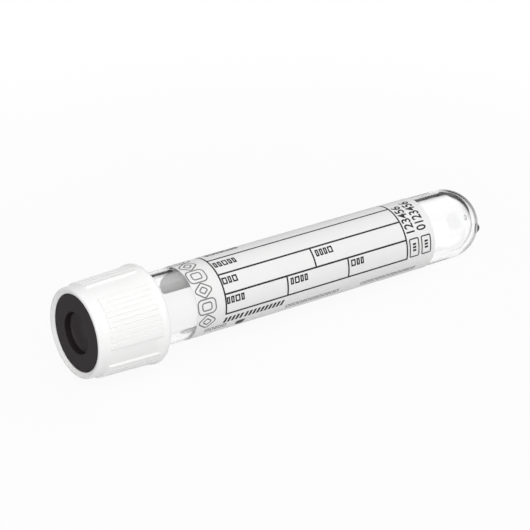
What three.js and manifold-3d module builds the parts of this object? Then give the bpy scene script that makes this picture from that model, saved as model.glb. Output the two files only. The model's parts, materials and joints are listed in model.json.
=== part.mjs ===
// A screw-capped blood collection tube, lying on its side as it comes to rest.
//
// Five pieces share one axis: a clear moulded tube with a round end and an outside thread, a ribbed
// screw cap, a flat retaining ring in the cap's face, a rubber stopper that the ring traps against
// the cap's inner lip, and a paper label that wraps most of the way round the tube.
//
// Each piece is made about its own axis, +Y, with y = 0 at the cap's face and y growing towards the
// round end. Angles round the axis start at the top of the lying tube and grow towards its front, so a
// thread whose y grows with its angle is right-handed. The assembly is then laid down: the cap lies
// towards -X, and the axis leans until the cap's rim and the round end both touch z = 0.
// Lengths are in millimetres and angles in degrees.

import * as THREE from "three";
import { mergeVertices } from "three/addons/utils/BufferGeometryUtils.js";
import Module from "manifold-3d";

const wasm = await Module();
wasm.setup();

// ---- Driving dimensions ----------------------------------------------------------------------

// Clear tube
const TUBE_RADIUS = 6.25; // outside, from the mouth to where the draft starts
const TUBE_LENGTH = 79.92; // mouth to the outside of the round end
const TUBE_WALL = 0.87; // straight wall
const END_WALL = 1.05; // round end
const TUBE_DRAFT = 0.06; // radius lost between the mouth and the round end
const DRAFT_START = 12; // distance below the mouth at which the draft starts
const GATE_RADIUS = 0.7; // moulding gate's flat on the round end
const MOUTH_ROUND = 0.25; // rounding of the mouth's two edges

// Thread between tube and cap
const THREAD_LEAD = 12;
const THREAD_STARTS = 4;
const THREAD_TURN = 70; // angle that each ridge covers
const THREAD_DROP = 1.9; // mouth to the first point of each tube ridge
const TUBE_RIDGE = 0.5; // ridge height over the tube
const CAP_RIDGE_CLEARANCE = 0.2; // cap ridge's crest to the tube
const RIDGE_WIDTH = 0.9;
const RIDGE_FLANK_GAP = 0.3; // cap ridge to the tube ridge that it bears on
const BORE_CLEARANCE = 0.7; // cap's bore to the tube

// Cap
const CAP_LENGTH = 13.46;
const COLLAR_WALL = 1.07; // round the ring
const COLLAR_LENGTH = 2.2; // smooth collar before the grip starts
const FACE_ROUND = 0.72;
const SKIRT_WALL = 1.03; // smooth skirt where the rim's flare starts
const FLARE_HEIGHT = 0.62; // rim over the smooth skirt
const FLARE_LENGTH = 2.46; // start of the flare to the cap's open end
const RIM_ROUND = 0.5;
const GRIP_HEIGHT = 0.34; // grip over the smooth skirt
const GRIP_COUNT = 4;
const GRIP_SPAN = 65; // angle that each grip covers
const GRIP_CENTRE = 58.3; // middle of the first grip
const GRIP_RUNOUT = 1.06; // where the grips run out in the flare, to the cap's open end
const GROOVE_COUNT = 9; // fine grooves in each grip
const GROOVE_PITCH = 6.15;
const GROOVE_SPAN = 1.9;
const GROOVE_DEPTH = 0.17;
const LIP_THICKNESS = 0.5; // inner lip that carries the stopper's flange
const LIP_CLEARANCE = 0.1; // inner lip to the tube
const SKIRT_CHAMFER = 0.25; // lead-in at the cap's open end

// Retaining ring
const RING_OVERHANG = 0.04; // ring past the stopper's flange
const RING_BORE = 3.6;
const RING_THICKNESS = 1.42;
const RING_RECESS = 0.48; // below the cap's face
const RING_ROUND = 0.12;

// Rubber stopper
const FLANGE_OVERHANG = 0.35; // flange past the tube's outside
const FLANGE_THICKNESS = 1.4;
const FLANGE_ROUND = 0.3;
const BOSS_HEIGHT = 0.32; // boss that the needle goes through, over the flange
const BOSS_ROUND = 0.3;
const BOSS_DISH = 0.14;
const PLUG_LENGTH = 6.05;
const PLUG_WAIST = 0.18; // how far the plug draws in between its sealing beads
const PLUG_TAPER = 0.8; // length and depth of the plug's leading chamfer
const PLUG_WALL = 2.05; // round the hollow under the plug
const PLUG_HOLLOW_DEPTH = 3.3;

// Label
const LABEL_GAP = 6.73; // cap's open end to the label
const LABEL_MARGIN = 6.79; // label to the start of the round end
const LABEL_THICKNESS = 0.09;
const LABEL_FIRST_EDGE = -100.5;
const LABEL_SPAN = 276.5;
const LABEL_CORNER = 1.6;

// Clearances
const RUNNING_GAP = 0.03; // radial, between round fits
const SEAT_GAP = 0.05; // axial, between stacked faces
const GLUE_GAP = 0.02; // between the label and the tube

// Fineness
const SIDES = 56;
const ARC_STEPS = 6;
const DOME_STEPS = 10;
const RIDGE_STEPS = 10;

// ---- Sizes that follow -----------------------------------------------------------------------

const RING_BACK = RING_RECESS + RING_THICKNESS;
const FLANGE_TOP = RING_BACK + SEAT_GAP;
const FLANGE_BACK = FLANGE_TOP + FLANGE_THICKNESS;
const MOUTH = FLANGE_BACK + SEAT_GAP;
const TUBE_END = MOUTH + TUBE_LENGTH;
const END_RADIUS = TUBE_RADIUS - TUBE_DRAFT;
const DOME_CENTRE = TUBE_END - END_RADIUS;
const TUBE_BORE = TUBE_RADIUS - TUBE_WALL;
const FLANGE_RADIUS = TUBE_RADIUS + FLANGE_OVERHANG;
const RING_RADIUS = FLANGE_RADIUS + RING_OVERHANG;
const FACE_BORE = RING_RADIUS + RUNNING_GAP;
const LIP_RADIUS = TUBE_RADIUS + LIP_CLEARANCE;
const CAP_BORE = TUBE_RADIUS + BORE_CLEARANCE;
const COLLAR_RADIUS = FACE_BORE + COLLAR_WALL;
const SKIRT_RADIUS = CAP_BORE + SKIRT_WALL;
const RIM_RADIUS = SKIRT_RADIUS + FLARE_HEIGHT;
const RIM_STATION = CAP_LENGTH - RIM_ROUND;
const FLARE_START = CAP_LENGTH - FLARE_LENGTH;
const GRIP_END = CAP_LENGTH - GRIP_RUNOUT;
const BOSS_RADIUS = RING_BORE - RUNNING_GAP;
const BOSS_TOP = FLANGE_TOP - BOSS_HEIGHT;
const PLUG_RADIUS = TUBE_BORE - RUNNING_GAP;
const PLUG_END = FLANGE_BACK + PLUG_LENGTH;
const LABEL_START = CAP_LENGTH + LABEL_GAP;
const LABEL_END = DOME_CENTRE - LABEL_MARGIN;

// ---- Helpers ---------------------------------------------------------------------------------

const radians = THREE.MathUtils.degToRad;

/** Points of an arc in a lathe profile, from one angle to another; 0 is outwards and 90 towards +Y. */
function arc(radius, y, round, from, to, steps = ARC_STEPS) {
  return Array.from({ length: steps + 1 }, (_, i) => {
    const angle = radians(from + ((to - from) * i) / steps);
    return [radius + round * Math.cos(angle), y + round * Math.sin(angle)];
  });
}

/** A point of a section across the axis, at a radius and an angle round it. */
function polar(radius, angle) {
  return new THREE.Vector2(
    radius * Math.sin(radians(angle)),
    -radius * Math.cos(radians(angle)),
  );
}

/** Outer radius of the tube at a station, with its draft. */
function tubeRadiusAt(y) {
  const drafted = THREE.MathUtils.inverseLerp(MOUTH + DRAFT_START, DOME_CENTRE, y);
  return TUBE_RADIUS - TUBE_DRAFT * THREE.MathUtils.clamp(drafted, 0, 1);
}

/** A manifold solid from a closed three.js geometry. */
function solid(geometry) {
  geometry.deleteAttribute("normal");
  geometry.deleteAttribute("uv");
  const merged = mergeVertices(geometry);
  return new wasm.Manifold(
    new wasm.Mesh({
      numProp: 3,
      vertProperties: merged.attributes.position.array,
      triVerts: new Uint32Array(merged.index.array),
    }),
  );
}

/** A solid of revolution from [radius, y] points, with one of its flat sides straight down. */
function turned(points) {
  const profile = points.map(([radius, y]) => new THREE.Vector2(radius, y));
  return solid(new THREE.LatheGeometry(profile, SIDES, Math.PI / SIDES));
}

/** A solid from a section across the axis, whose radii go from one scale to another along its length. */
function drawn(section, start, length, startScale = 1, endScale = 1) {
  const settings = { depth: length, steps: 1, bevelEnabled: false };
  const geometry = new THREE.ExtrudeGeometry(section, settings);
  geometry.rotateX(-Math.PI / 2);
  const position = geometry.attributes.position;
  for (let i = 0; i < position.count; i++) {
    const y = position.getY(i);
    const scale = THREE.MathUtils.lerp(startScale, endScale, y / length);
    position.setXYZ(i, position.getX(i) * scale, start + y, position.getZ(i) * scale);
  }
  return solid(geometry);
}

/** One thread ridge: a bar bent along the helix, full height but for its two ends. */
function ridge(root, crest, end, startY, startAngle) {
  const geometry = new THREE.BoxGeometry(1, 1, 1, RIDGE_STEPS, 1, 1);
  const position = geometry.attributes.position;
  for (let i = 0; i < position.count; i++) {
    const along = position.getX(i) + 0.5;
    const atCrest = position.getZ(i) > 0;
    const atEnd = along < 0.5 / RIDGE_STEPS || along > 1 - 0.5 / RIDGE_STEPS;
    const radius = atCrest ? (atEnd ? end : crest) : root;
    const width = RIDGE_WIDTH * (atCrest ? 0.6 : 1);
    const angle = radians(startAngle + THREAD_TURN * along);
    const y = startY + (THREAD_LEAD * THREAD_TURN * along) / 360 + position.getY(i) * width;
    position.setXYZ(i, radius * Math.sin(angle), y, radius * Math.cos(angle));
  }
  return solid(geometry);
}

/** All the ridges of one thread, evenly spaced round the axis. */
function thread(root, crest, end, startY) {
  return Array.from({ length: THREAD_STARTS }, (_, i) =>
    facingOut(ridge(root, crest, end, startY, (360 * i) / THREAD_STARTS)),
  );
}

/** The same solid, turned right side out if its faces point inwards. */
function facingOut(made) {
  if (made.volume() > 0) return made;
  const { vertProperties, triVerts } = made.getMesh();
  return new wasm.Manifold(
    new wasm.Mesh({ numProp: 3, vertProperties, triVerts: triVerts.slice().reverse() }),
  );
}

/** A named mesh from a solid. */
function piece(name, made, material) {
  const { vertProperties, triVerts } = made.getMesh();
  const geometry = new THREE.BufferGeometry();
  geometry.setAttribute("position", new THREE.BufferAttribute(vertProperties, 3));
  geometry.setIndex(new THREE.BufferAttribute(triVerts, 1));
  geometry.computeVertexNormals();
  const mesh = new THREE.Mesh(geometry, material);
  mesh.name = name;
  return mesh;
}

// ---- Pieces ----------------------------------------------------------------------------------

/** Clear tube: open mouth, slightly drafted wall, hemispherical end with its gate, outside thread. */
function makeTube() {
  const gateDrop = Math.sqrt(END_RADIUS ** 2 - GATE_RADIUS ** 2);
  const gateAngle = THREE.MathUtils.radToDeg(Math.acos(GATE_RADIUS / END_RADIUS));
  const innerRadius = END_RADIUS - END_WALL;
  const outside = [
    ...arc(TUBE_BORE + MOUTH_ROUND, MOUTH + MOUTH_ROUND, MOUTH_ROUND, 180, 270, 3),
    ...arc(TUBE_RADIUS - MOUTH_ROUND, MOUTH + MOUTH_ROUND, MOUTH_ROUND, -90, 0, 3),
    [TUBE_RADIUS, MOUTH + DRAFT_START],
    ...arc(0, DOME_CENTRE, END_RADIUS, 0, gateAngle, DOME_STEPS),
    [0, DOME_CENTRE + gateDrop],
  ];
  const inside = [
    [0, DOME_CENTRE + innerRadius],
    ...arc(0, DOME_CENTRE, innerRadius, 90, 0, DOME_STEPS).slice(1),
    [TUBE_BORE, MOUTH + DRAFT_START],
  ];
  const body = facingOut(turned([...inside, ...outside]));
  const ridges = thread(
    TUBE_RADIUS - TUBE_RIDGE / 2,
    TUBE_RADIUS + TUBE_RIDGE,
    TUBE_RADIUS + TUBE_RIDGE / 10,
    MOUTH + THREAD_DROP,
  );
  return ridges.reduce((whole, one) => whole.add(one), body);
}

/** Section of the four grips, with their fine grooves; between the grips it lies inside the skirt. */
function gripSection(top, bottom) {
  const points = [];
  for (let i = 0; i < GRIP_COUNT; i++) {
    const centre = GRIP_CENTRE + (360 * i) / GRIP_COUNT;
    points.push(polar(bottom, centre - GRIP_SPAN / 2), polar(top, centre - GRIP_SPAN / 2));
    for (let j = 0; j < GROOVE_COUNT; j++) {
      const groove = centre + GROOVE_PITCH * (j - (GROOVE_COUNT - 1) / 2);
      points.push(
        polar(top, groove - GROOVE_SPAN / 2),
        polar(top - GROOVE_DEPTH, groove),
        polar(top, groove + GROOVE_SPAN / 2),
      );
    }
    points.push(polar(top, centre + GRIP_SPAN / 2), polar(bottom, centre + GRIP_SPAN / 2));
  }
  return new THREE.Shape(points);
}

/** Screw cap: collar, skirt with grips, flared rim; inside it a seat, a lip, a bore and a thread. */
function makeCap() {
  const { lerp, smoothstep } = THREE.MathUtils;
  const skirt = facingOut(
    turned([
      [0, 0],
      ...arc(COLLAR_RADIUS - FACE_ROUND, FACE_ROUND, FACE_ROUND, -90, 0),
      [COLLAR_RADIUS, COLLAR_LENGTH],
      [SKIRT_RADIUS, FLARE_START],
      ...[0.25, 0.5, 0.75].map((part) => [
        lerp(SKIRT_RADIUS, RIM_RADIUS, smoothstep(part, 0, 1)),
        lerp(FLARE_START, RIM_STATION, part),
      ]),
      ...arc(RIM_RADIUS - RIM_ROUND, RIM_STATION, RIM_ROUND, 0, 90),
      [0, CAP_LENGTH],
    ]),
  );
  const gripTop = COLLAR_RADIUS + GRIP_HEIGHT;
  const growth = (SKIRT_RADIUS - COLLAR_RADIUS) / (FLARE_START - COLLAR_LENGTH);
  const gripLength = GRIP_END - COLLAR_LENGTH;
  const grips = drawn(
    gripSection(gripTop, COLLAR_RADIUS - GRIP_HEIGHT),
    COLLAR_LENGTH,
    gripLength,
    1,
    1 + (growth * gripLength) / gripTop,
  );
  const hollow = facingOut(
    turned([
      [0, -1],
      [FACE_BORE, -1],
      [FACE_BORE, MOUTH],
      [LIP_RADIUS, MOUTH],
      [LIP_RADIUS, MOUTH + LIP_THICKNESS],
      [CAP_BORE, MOUTH + LIP_THICKNESS],
      [CAP_BORE, CAP_LENGTH - SKIRT_CHAMFER],
      [CAP_BORE + 2 * SKIRT_CHAMFER, CAP_LENGTH + SKIRT_CHAMFER],
      [0, CAP_LENGTH + SKIRT_CHAMFER],
    ]),
  );
  const shell = skirt.add(facingOut(grips)).subtract(hollow);
  const ridges = thread(
    CAP_BORE + TUBE_RIDGE / 2,
    TUBE_RADIUS + CAP_RIDGE_CLEARANCE,
    CAP_BORE - TUBE_RIDGE / 10,
    MOUTH + THREAD_DROP + RIDGE_WIDTH + RIDGE_FLANK_GAP,
  );
  return ridges.reduce((whole, one) => whole.add(one), shell);
}

/** Retaining ring: a flat washer with eased edges. */
function makeRing() {
  return facingOut(
    turned([
      ...arc(RING_BORE + RING_ROUND, RING_RECESS + RING_ROUND, RING_ROUND, 180, 270, 3),
      ...arc(RING_RADIUS - RING_ROUND, RING_RECESS + RING_ROUND, RING_ROUND, -90, 0, 3),
      [RING_RADIUS, RING_BACK],
      [RING_BORE, RING_BACK],
      [RING_BORE, RING_RECESS + RING_ROUND],
    ]),
  );
}

/** Stopper: dished boss, flange, plug with two sealing beads, and a domed hollow underneath. */
function makeStopper() {
  const waist = PLUG_RADIUS - PLUG_WAIST;
  const bead = PLUG_LENGTH / 8;
  const hollow = PLUG_RADIUS - PLUG_WALL;
  const bossRound = Math.min(BOSS_ROUND, BOSS_HEIGHT);
  return facingOut(
    turned([
      [0, BOSS_TOP + BOSS_DISH],
      [BOSS_RADIUS * 0.55, BOSS_TOP + BOSS_DISH * 0.7],
      ...arc(BOSS_RADIUS - bossRound, BOSS_TOP + bossRound, bossRound, -90, 0),
      [BOSS_RADIUS, FLANGE_TOP],
      ...arc(FLANGE_RADIUS - FLANGE_ROUND, FLANGE_TOP + FLANGE_ROUND, FLANGE_ROUND, -90, 0, 3),
      [FLANGE_RADIUS, FLANGE_BACK],
      [PLUG_RADIUS, FLANGE_BACK],
      [PLUG_RADIUS, FLANGE_BACK + 2 * bead],
      [waist, FLANGE_BACK + 3 * bead],
      [waist, FLANGE_BACK + 4 * bead],
      [PLUG_RADIUS, FLANGE_BACK + 5 * bead],
      [PLUG_RADIUS, PLUG_END - PLUG_TAPER],
      [PLUG_RADIUS - PLUG_TAPER, PLUG_END],
      [hollow, PLUG_END],
      [hollow, PLUG_END - PLUG_HOLLOW_DEPTH * 0.6],
      [hollow * 0.7, PLUG_END - PLUG_HOLLOW_DEPTH * 0.88],
      [0, PLUG_END - PLUG_HOLLOW_DEPTH],
    ]),
  );
}

/** What is cut from one corner of the label to round it; the corner is at the origin. */
function cornerWaste() {
  const waste = new THREE.Shape();
  waste.moveTo(-1, -1);
  waste.lineTo(LABEL_CORNER, -1);
  waste.lineTo(LABEL_CORNER, 0);
  waste.absarc(LABEL_CORNER, LABEL_CORNER, LABEL_CORNER, -Math.PI / 2, -Math.PI, true);
  waste.lineTo(-1, LABEL_CORNER);
  const settings = { depth: TUBE_RADIUS, bevelEnabled: false, curveSegments: ARC_STEPS };
  return new THREE.ExtrudeGeometry(waste, settings);
}

/** Label: a thin sheet wrapped round the drafted tube, with rounded corners and a window left open. */
function makeLabel() {
  const inner = tubeRadiusAt(LABEL_START) + GLUE_GAP;
  const outer = inner + LABEL_THICKNESS;
  const steps = Math.ceil((LABEL_SPAN * 2 * SIDES) / 360);
  const angleAt = (_, i) => LABEL_FIRST_EDGE + (LABEL_SPAN * i) / steps;
  const edge = Array.from({ length: steps + 1 }, angleAt);
  const section = new THREE.Shape([
    ...edge.map((angle) => polar(outer, angle)),
    ...edge.toReversed().map((angle) => polar(inner, angle)),
  ]);
  const narrowing = 1 - (tubeRadiusAt(LABEL_START) - tubeRadiusAt(LABEL_END)) / outer;
  const sheet = facingOut(drawn(section, LABEL_START, LABEL_END - LABEL_START, 1, narrowing));
  const corners = [
    [LABEL_FIRST_EDGE, LABEL_START, 1, 1],
    [LABEL_FIRST_EDGE + LABEL_SPAN, LABEL_START, -1, 1],
    [LABEL_FIRST_EDGE, LABEL_END, 1, -1],
    [LABEL_FIRST_EDGE + LABEL_SPAN, LABEL_END, -1, -1],
  ];
  return corners.reduce((left, [angle, y, inwards, along]) => {
    const waste = cornerWaste();
    waste.scale(inwards, along, 1);
    waste.translate(0, y, TUBE_RADIUS / 2);
    waste.rotateY(radians(angle));
    return left.subtract(facingOut(solid(waste)));
  }, sheet);
}

// ---- Assembly --------------------------------------------------------------------------------

/** Lean of the axis, in radians, at which the rim and the round end touch the same level surface. */
function restingLean() {
  const rimCentre = RIM_RADIUS - RIM_ROUND;
  const apart = DOME_CENTRE - RIM_STATION;
  const reach = END_RADIUS - RIM_ROUND;
  return Math.acos(reach / Math.hypot(rimCentre, apart)) - Math.atan2(apart, rimCentre);
}

const white = new THREE.MeshStandardMaterial({ color: 0xf4f4f2, roughness: 0.35, metalness: 0 });
const black = new THREE.MeshStandardMaterial({ color: 0x2b2829, roughness: 0.55, metalness: 0 });
const rubber = new THREE.MeshStandardMaterial({ color: 0x353132, roughness: 0.7, metalness: 0 });
const paper = new THREE.MeshStandardMaterial({ color: 0xf0f0ee, roughness: 0.6, metalness: 0 });
const clear = new THREE.MeshStandardMaterial({ color: 0xf2f6f7, roughness: 0.05, metalness: 0 });
clear.transparent = true;
clear.opacity = 0.3;

const upright = new THREE.Group();
upright.add(
  piece("tube", makeTube(), clear),
  piece("cap", makeCap(), white),
  piece("retaining_ring", makeRing(), black),
  piece("stopper", makeStopper(), rubber),
  piece("label", makeLabel(), paper),
);
upright.rotation.z = -Math.PI / 2;

const group = new THREE.Group();
group.add(upright);
group.rotation.y = restingLean();
const bounds = new THREE.Box3().setFromObject(group, true);
group.position.set(-(bounds.min.x + bounds.max.x) / 2, 0, -bounds.min.z);

export default group;
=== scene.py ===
"""A screw-capped blood collection tube, lying on its side on a plain pale floor.

Every piece is turned or wrapped about the tube's own axis in millimetres, with station 0 at the cap's
face and the round end at the far station. Bearings go round that axis in degrees, from 0 at the top of
the lying tube to 90 at its front. Each finished mesh is then placed in the shared frame, in metres.
"""

import json
import logging
import math
from collections.abc import Callable, Iterable, Mapping, Sequence
from dataclasses import dataclass
from enum import Enum
from typing import TypeAlias

import bmesh
import bpy
from bmesh.types import BMesh, BMVert
from bpy.types import Material, Node, NodeSocket, NodeTree, Object
from mathutils import Matrix, Vector


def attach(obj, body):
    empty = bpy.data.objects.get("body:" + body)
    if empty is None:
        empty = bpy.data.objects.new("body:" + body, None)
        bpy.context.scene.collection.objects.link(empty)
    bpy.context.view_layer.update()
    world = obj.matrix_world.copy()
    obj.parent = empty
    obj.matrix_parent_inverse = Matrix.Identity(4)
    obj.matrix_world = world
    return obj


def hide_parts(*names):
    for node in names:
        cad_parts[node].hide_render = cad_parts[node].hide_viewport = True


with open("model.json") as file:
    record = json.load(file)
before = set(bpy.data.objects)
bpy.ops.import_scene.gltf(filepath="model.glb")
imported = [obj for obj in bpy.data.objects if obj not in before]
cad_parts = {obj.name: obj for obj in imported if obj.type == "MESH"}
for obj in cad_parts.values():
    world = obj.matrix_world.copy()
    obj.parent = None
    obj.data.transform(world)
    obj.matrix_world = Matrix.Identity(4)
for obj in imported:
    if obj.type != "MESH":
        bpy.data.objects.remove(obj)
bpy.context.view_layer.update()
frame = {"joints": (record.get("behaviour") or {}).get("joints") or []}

LOG = logging.getLogger("blood_tube")

MM = 0.001
Point = tuple[float, float]
Spot = tuple[float, float, float]
Colour = tuple[float, float, float]
Operand: TypeAlias = "Number | float"

# Sizes that more than one piece shares, in millimetres; the thread's turn and fade are in degrees, and
# the label's skew is how far along the tube it shifts for each millimetre round it
TUBE_RADIUS = 6.25
TUBE_BORE = 5.38
END_RADIUS = 6.19
MOUTH = 3.40
DRAFT_START = 15.40
DOME_CENTRE = 77.13
THREAD_LEAD = 12.0
THREAD_STARTS = 4
THREAD_TURN = 70.0
THREAD_FADE = 8.0
RIDGE_WIDTH = 0.9
LABEL_LIFT = 0.01
LABEL_THICKNESS = 0.09
LABEL_SKEW = -0.0061


class Body(Enum):
    """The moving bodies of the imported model."""

    TUBE = "tube_body"
    STOPPER = "stopper_body"
    CAP = "cap_body"


class Slot(Enum):
    """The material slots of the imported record."""

    CLEAR = "clear_plastic"
    WHITE = "white_plastic"
    BLACK = "black_plastic"
    RUBBER = "rubber"
    PAPER = "paper"


# ---- Placement ----


@dataclass(frozen=True)
class Axis:
    """The tube's own axis in the shared frame.

    Attributes:
        origin: Where the axis meets the plane of the cap's face, in metres.
        along: Unit direction from the cap towards the round end.
    """

    origin: Vector
    along: Vector

    @classmethod
    def of_cap(cls) -> "Axis":
        """Reads the axis from the joint that the cap turns on, pointing from its face into the tube."""
        turn = next(j for j in frame["joints"] if j["name"] == "cap_turn")
        return cls(Vector(turn["pos_m"]), -Vector(turn["axis"]).normalized())

    def matrix(self) -> Matrix:
        """Takes the axis's own millimetres to the frame's metres.

        Returns:
            A matrix whose local x is up, y is to the front and z runs along the axis.
        """
        level = Vector((0, 0, 1))
        up = (level - self.along * level.dot(self.along)).normalized()
        front = self.along.cross(up)
        turn = Matrix((up, front, self.along)).transposed().to_4x4()
        return Matrix.Translation(self.origin) @ turn @ Matrix.Scale(MM, 4)

    def point(self, station: float) -> Vector:
        """Returns the point of the axis at a station in millimetres, in metres."""
        return self.origin + self.along * (station * MM)


AXIS = Axis.of_cap()


# ---- Node trees ----


class Nodes:
    """Makes the nodes of one tree."""

    def __init__(self, tree: NodeTree) -> None:
        """Keeps the tree that the nodes go in."""
        self.tree = tree

    def add(
        self,
        kind: str,
        settings: Mapping[str, object] | None = None,
        inputs: Mapping[str | int, object] | None = None,
    ) -> Node:
        """Makes one node.

        Args:
            kind: The node's type.
            settings: Properties to set first.
            inputs: Values, sockets or numbers of a socket class, by the input's name or place.

        Returns:
            The new node.
        """
        node = self.tree.nodes.new(kind)
        for name, value in (settings or {}).items():
            setattr(node, name, value)
        for place, value in (inputs or {}).items():
            source = getattr(value, "socket", value)
            if isinstance(source, NodeSocket):
                self.tree.links.new(source, node.inputs[place])
            else:
                node.inputs[place].default_value = source
        return node

    def number(self, node: Node, output: str | int = 0) -> "Number":
        """Returns one output of a node as a number that takes operators."""
        return Number(self, node.outputs[output])

    def place(self, vector: NodeSocket) -> "Place":
        """Splits a vector into its three coordinates."""
        parts = self.add("ShaderNodeSeparateXYZ", None, {0: vector})
        return Place(*(self.number(parts, axis) for axis in "XYZ"))

    def vector(self, operation: str, *operands: object) -> NodeSocket:
        """Adds one Vector Math node, with its inputs in order, and returns its vector."""
        inputs = dict(enumerate(operands))
        return self.add("ShaderNodeVectorMath", {"operation": operation}, inputs).outputs[0]

    def length(self, vector: NodeSocket) -> "Number":
        """Returns a vector's length."""
        node = self.add("ShaderNodeVectorMath", {"operation": "LENGTH"}, {0: vector})
        return self.number(node, "Value")

    def mixed(self, share: Operand, first: Node, second: Node) -> Node:
        """Mixes two shaders, with a share of the second."""
        inputs = {0: share, 1: first.outputs[0], 2: second.outputs[0]}
        return self.add("ShaderNodeMixShader", None, inputs)


class Number:
    """A number that flows through a tree, written with ordinary operators."""

    def __init__(self, nodes: Nodes, socket: NodeSocket) -> None:
        """Wraps the socket that the number comes from."""
        self.nodes = nodes
        self.socket = socket

    def math(self, operation: str, *operands: Operand) -> "Number":
        """Adds one Math node, with its inputs in order, and returns its result."""
        node = self.nodes.add("ShaderNodeMath", {"operation": operation}, dict(enumerate(operands)))
        return self.nodes.number(node)

    def __add__(self, other: Operand) -> "Number":
        """Adds another number."""
        return self.math("ADD", self, other)

    __radd__ = __add__

    def __sub__(self, other: Operand) -> "Number":
        """Takes another number away."""
        return self.math("SUBTRACT", self, other)

    def __rsub__(self, other: float) -> "Number":
        """Is taken away from a plain number."""
        return self.math("SUBTRACT", other, self)

    def __mul__(self, other: Operand) -> "Number":
        """Multiplies by another number."""
        return self.math("MULTIPLY", self, other)

    __rmul__ = __mul__

    def __truediv__(self, other: Operand) -> "Number":
        """Divides by another number."""
        return self.math("DIVIDE", self, other)

    def __rtruediv__(self, other: float) -> "Number":
        """Divides a plain number."""
        return self.math("DIVIDE", other, self)

    def __pow__(self, other: Operand) -> "Number":
        """Is raised to a power."""
        return self.math("POWER", self, other)

    def __abs__(self) -> "Number":
        """Returns the size without its sign."""
        return self.math("ABSOLUTE", self)

    def top(self, other: Operand) -> "Number":
        """Returns the larger of two numbers."""
        return self.math("MAXIMUM", self, other)

    def wrapped(self, low: Operand, high: Operand) -> "Number":
        """Returns the number brought between two limits by whole periods."""
        return self.math("WRAP", self, high, low)

    def eased(self, start: Operand, end: Operand) -> "Number":
        """Rises smoothly from 0 at the start to 1 at the end."""
        smooth = {"interpolation_type": "SMOOTHSTEP"}
        return self.nodes.number(self.nodes.add("ShaderNodeMapRange", smooth, {0: self, 1: start, 2: end}))

    def scaled(self, low: float, high: float, to_low: float, to_high: float) -> "Number":
        """Maps one range onto another in a straight line, held at both ends."""
        values = {0: self, 1: low, 2: high, 3: to_low, 4: to_high}
        return self.nodes.number(self.nodes.add("ShaderNodeMapRange", None, values))


@dataclass
class Place:
    """Where a point of a mesh is, in numbers of a tree: its three coordinates."""

    x: Number
    y: Number
    z: Number

    def radius(self) -> Number:
        """Returns the distance from the axis."""
        return (self.x * self.x + self.y * self.y) ** 0.5

    def bearing(self) -> Number:
        """Returns the angle round the axis, in degrees."""
        return self.x.math("ARCTAN2", self.y, self.x) * math.degrees(1)

    def at_radius(self, radius: Number) -> "Place":
        """Returns the same place, moved in or out to a radius."""
        scale = radius / self.radius()
        return Place(self.x * scale, self.y * scale, self.z)


Sizes = dict[str, Number]
Rule = Callable[[Place, Sizes], Place]

# How far off a wall a point may be and still move with it, fading out, in millimetres
ON_WALL = (0.03, 0.06)
# The span over which a rule switches on, narrower than the gap between neighbouring points
SWITCH = (-0.01, 0.01)


class Shaper:
    """A Geometry Nodes tree that moves a mesh's points by a rule, with a named input for each size."""

    def __init__(self, name: str, rule: Rule, sizes: Mapping[str, float]) -> None:
        """Builds the tree.

        Args:
            name: The tree's name.
            rule: Gives a point its new place from its old place and the sizes.
            sizes: The named inputs and their values.
        """
        self.sizes = dict(sizes)
        self.tree = bpy.data.node_groups.new(name, "GeometryNodeTree")
        sockets = self.tree.interface
        sockets.new_socket("Geometry", in_out="INPUT", socket_type="NodeSocketGeometry")
        for size in self.sizes:
            sockets.new_socket(size, in_out="INPUT", socket_type="NodeSocketFloat")
        sockets.new_socket("Material", in_out="INPUT", socket_type="NodeSocketMaterial")
        sockets.new_socket("Geometry", in_out="OUTPUT", socket_type="NodeSocketGeometry")
        self._fill(rule)

    def _fill(self, rule: Rule) -> None:
        """Puts the nodes in the tree, ending in Realize Instances and Set Material.

        Args:
            rule: Gives a point its new place.
        """
        nodes = Nodes(self.tree)
        given = nodes.add("NodeGroupInput")
        position = nodes.add("GeometryNodeInputPosition")
        sizes = {size: nodes.number(given, size) for size in self.sizes}
        there = rule(nodes.place(position.outputs[0]), sizes)
        moved = nodes.add("ShaderNodeCombineXYZ", None, {0: there.x, 1: there.y, 2: there.z})
        values = {"Geometry": given.outputs["Geometry"], "Position": moved.outputs[0]}
        shape = nodes.add("GeometryNodeSetPosition", None, values)
        real = nodes.add("GeometryNodeRealizeInstances", None, {0: shape.outputs[0]})
        values = {"Geometry": real.outputs[0], "Material": given.outputs["Material"]}
        coated = nodes.add("GeometryNodeSetMaterial", None, values)
        nodes.add("NodeGroupOutput", None, {0: coated.outputs[0]})

    def apply(self, piece: Object, material: Material) -> None:
        """Shapes a piece and leaves the result as its plain mesh.

        Args:
            piece: The object to shape.
            material: What the tree gives all its faces.
        """
        modifier = piece.modifiers.new(self.tree.name, "NODES")
        modifier.node_group = self.tree
        values = {**self.sizes, "Material": material}
        for item in self.tree.interface.items_tree:
            if item.in_out == "INPUT" and item.name in values:
                modifier[item.identifier] = values[item.name]
        evaluated = piece.evaluated_get(bpy.context.evaluated_depsgraph_get())
        shaped = bpy.data.meshes.new_from_object(evaluated)
        piece.modifiers.clear()
        flat, piece.data = piece.data, shaped
        bpy.data.meshes.remove(flat)


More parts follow.
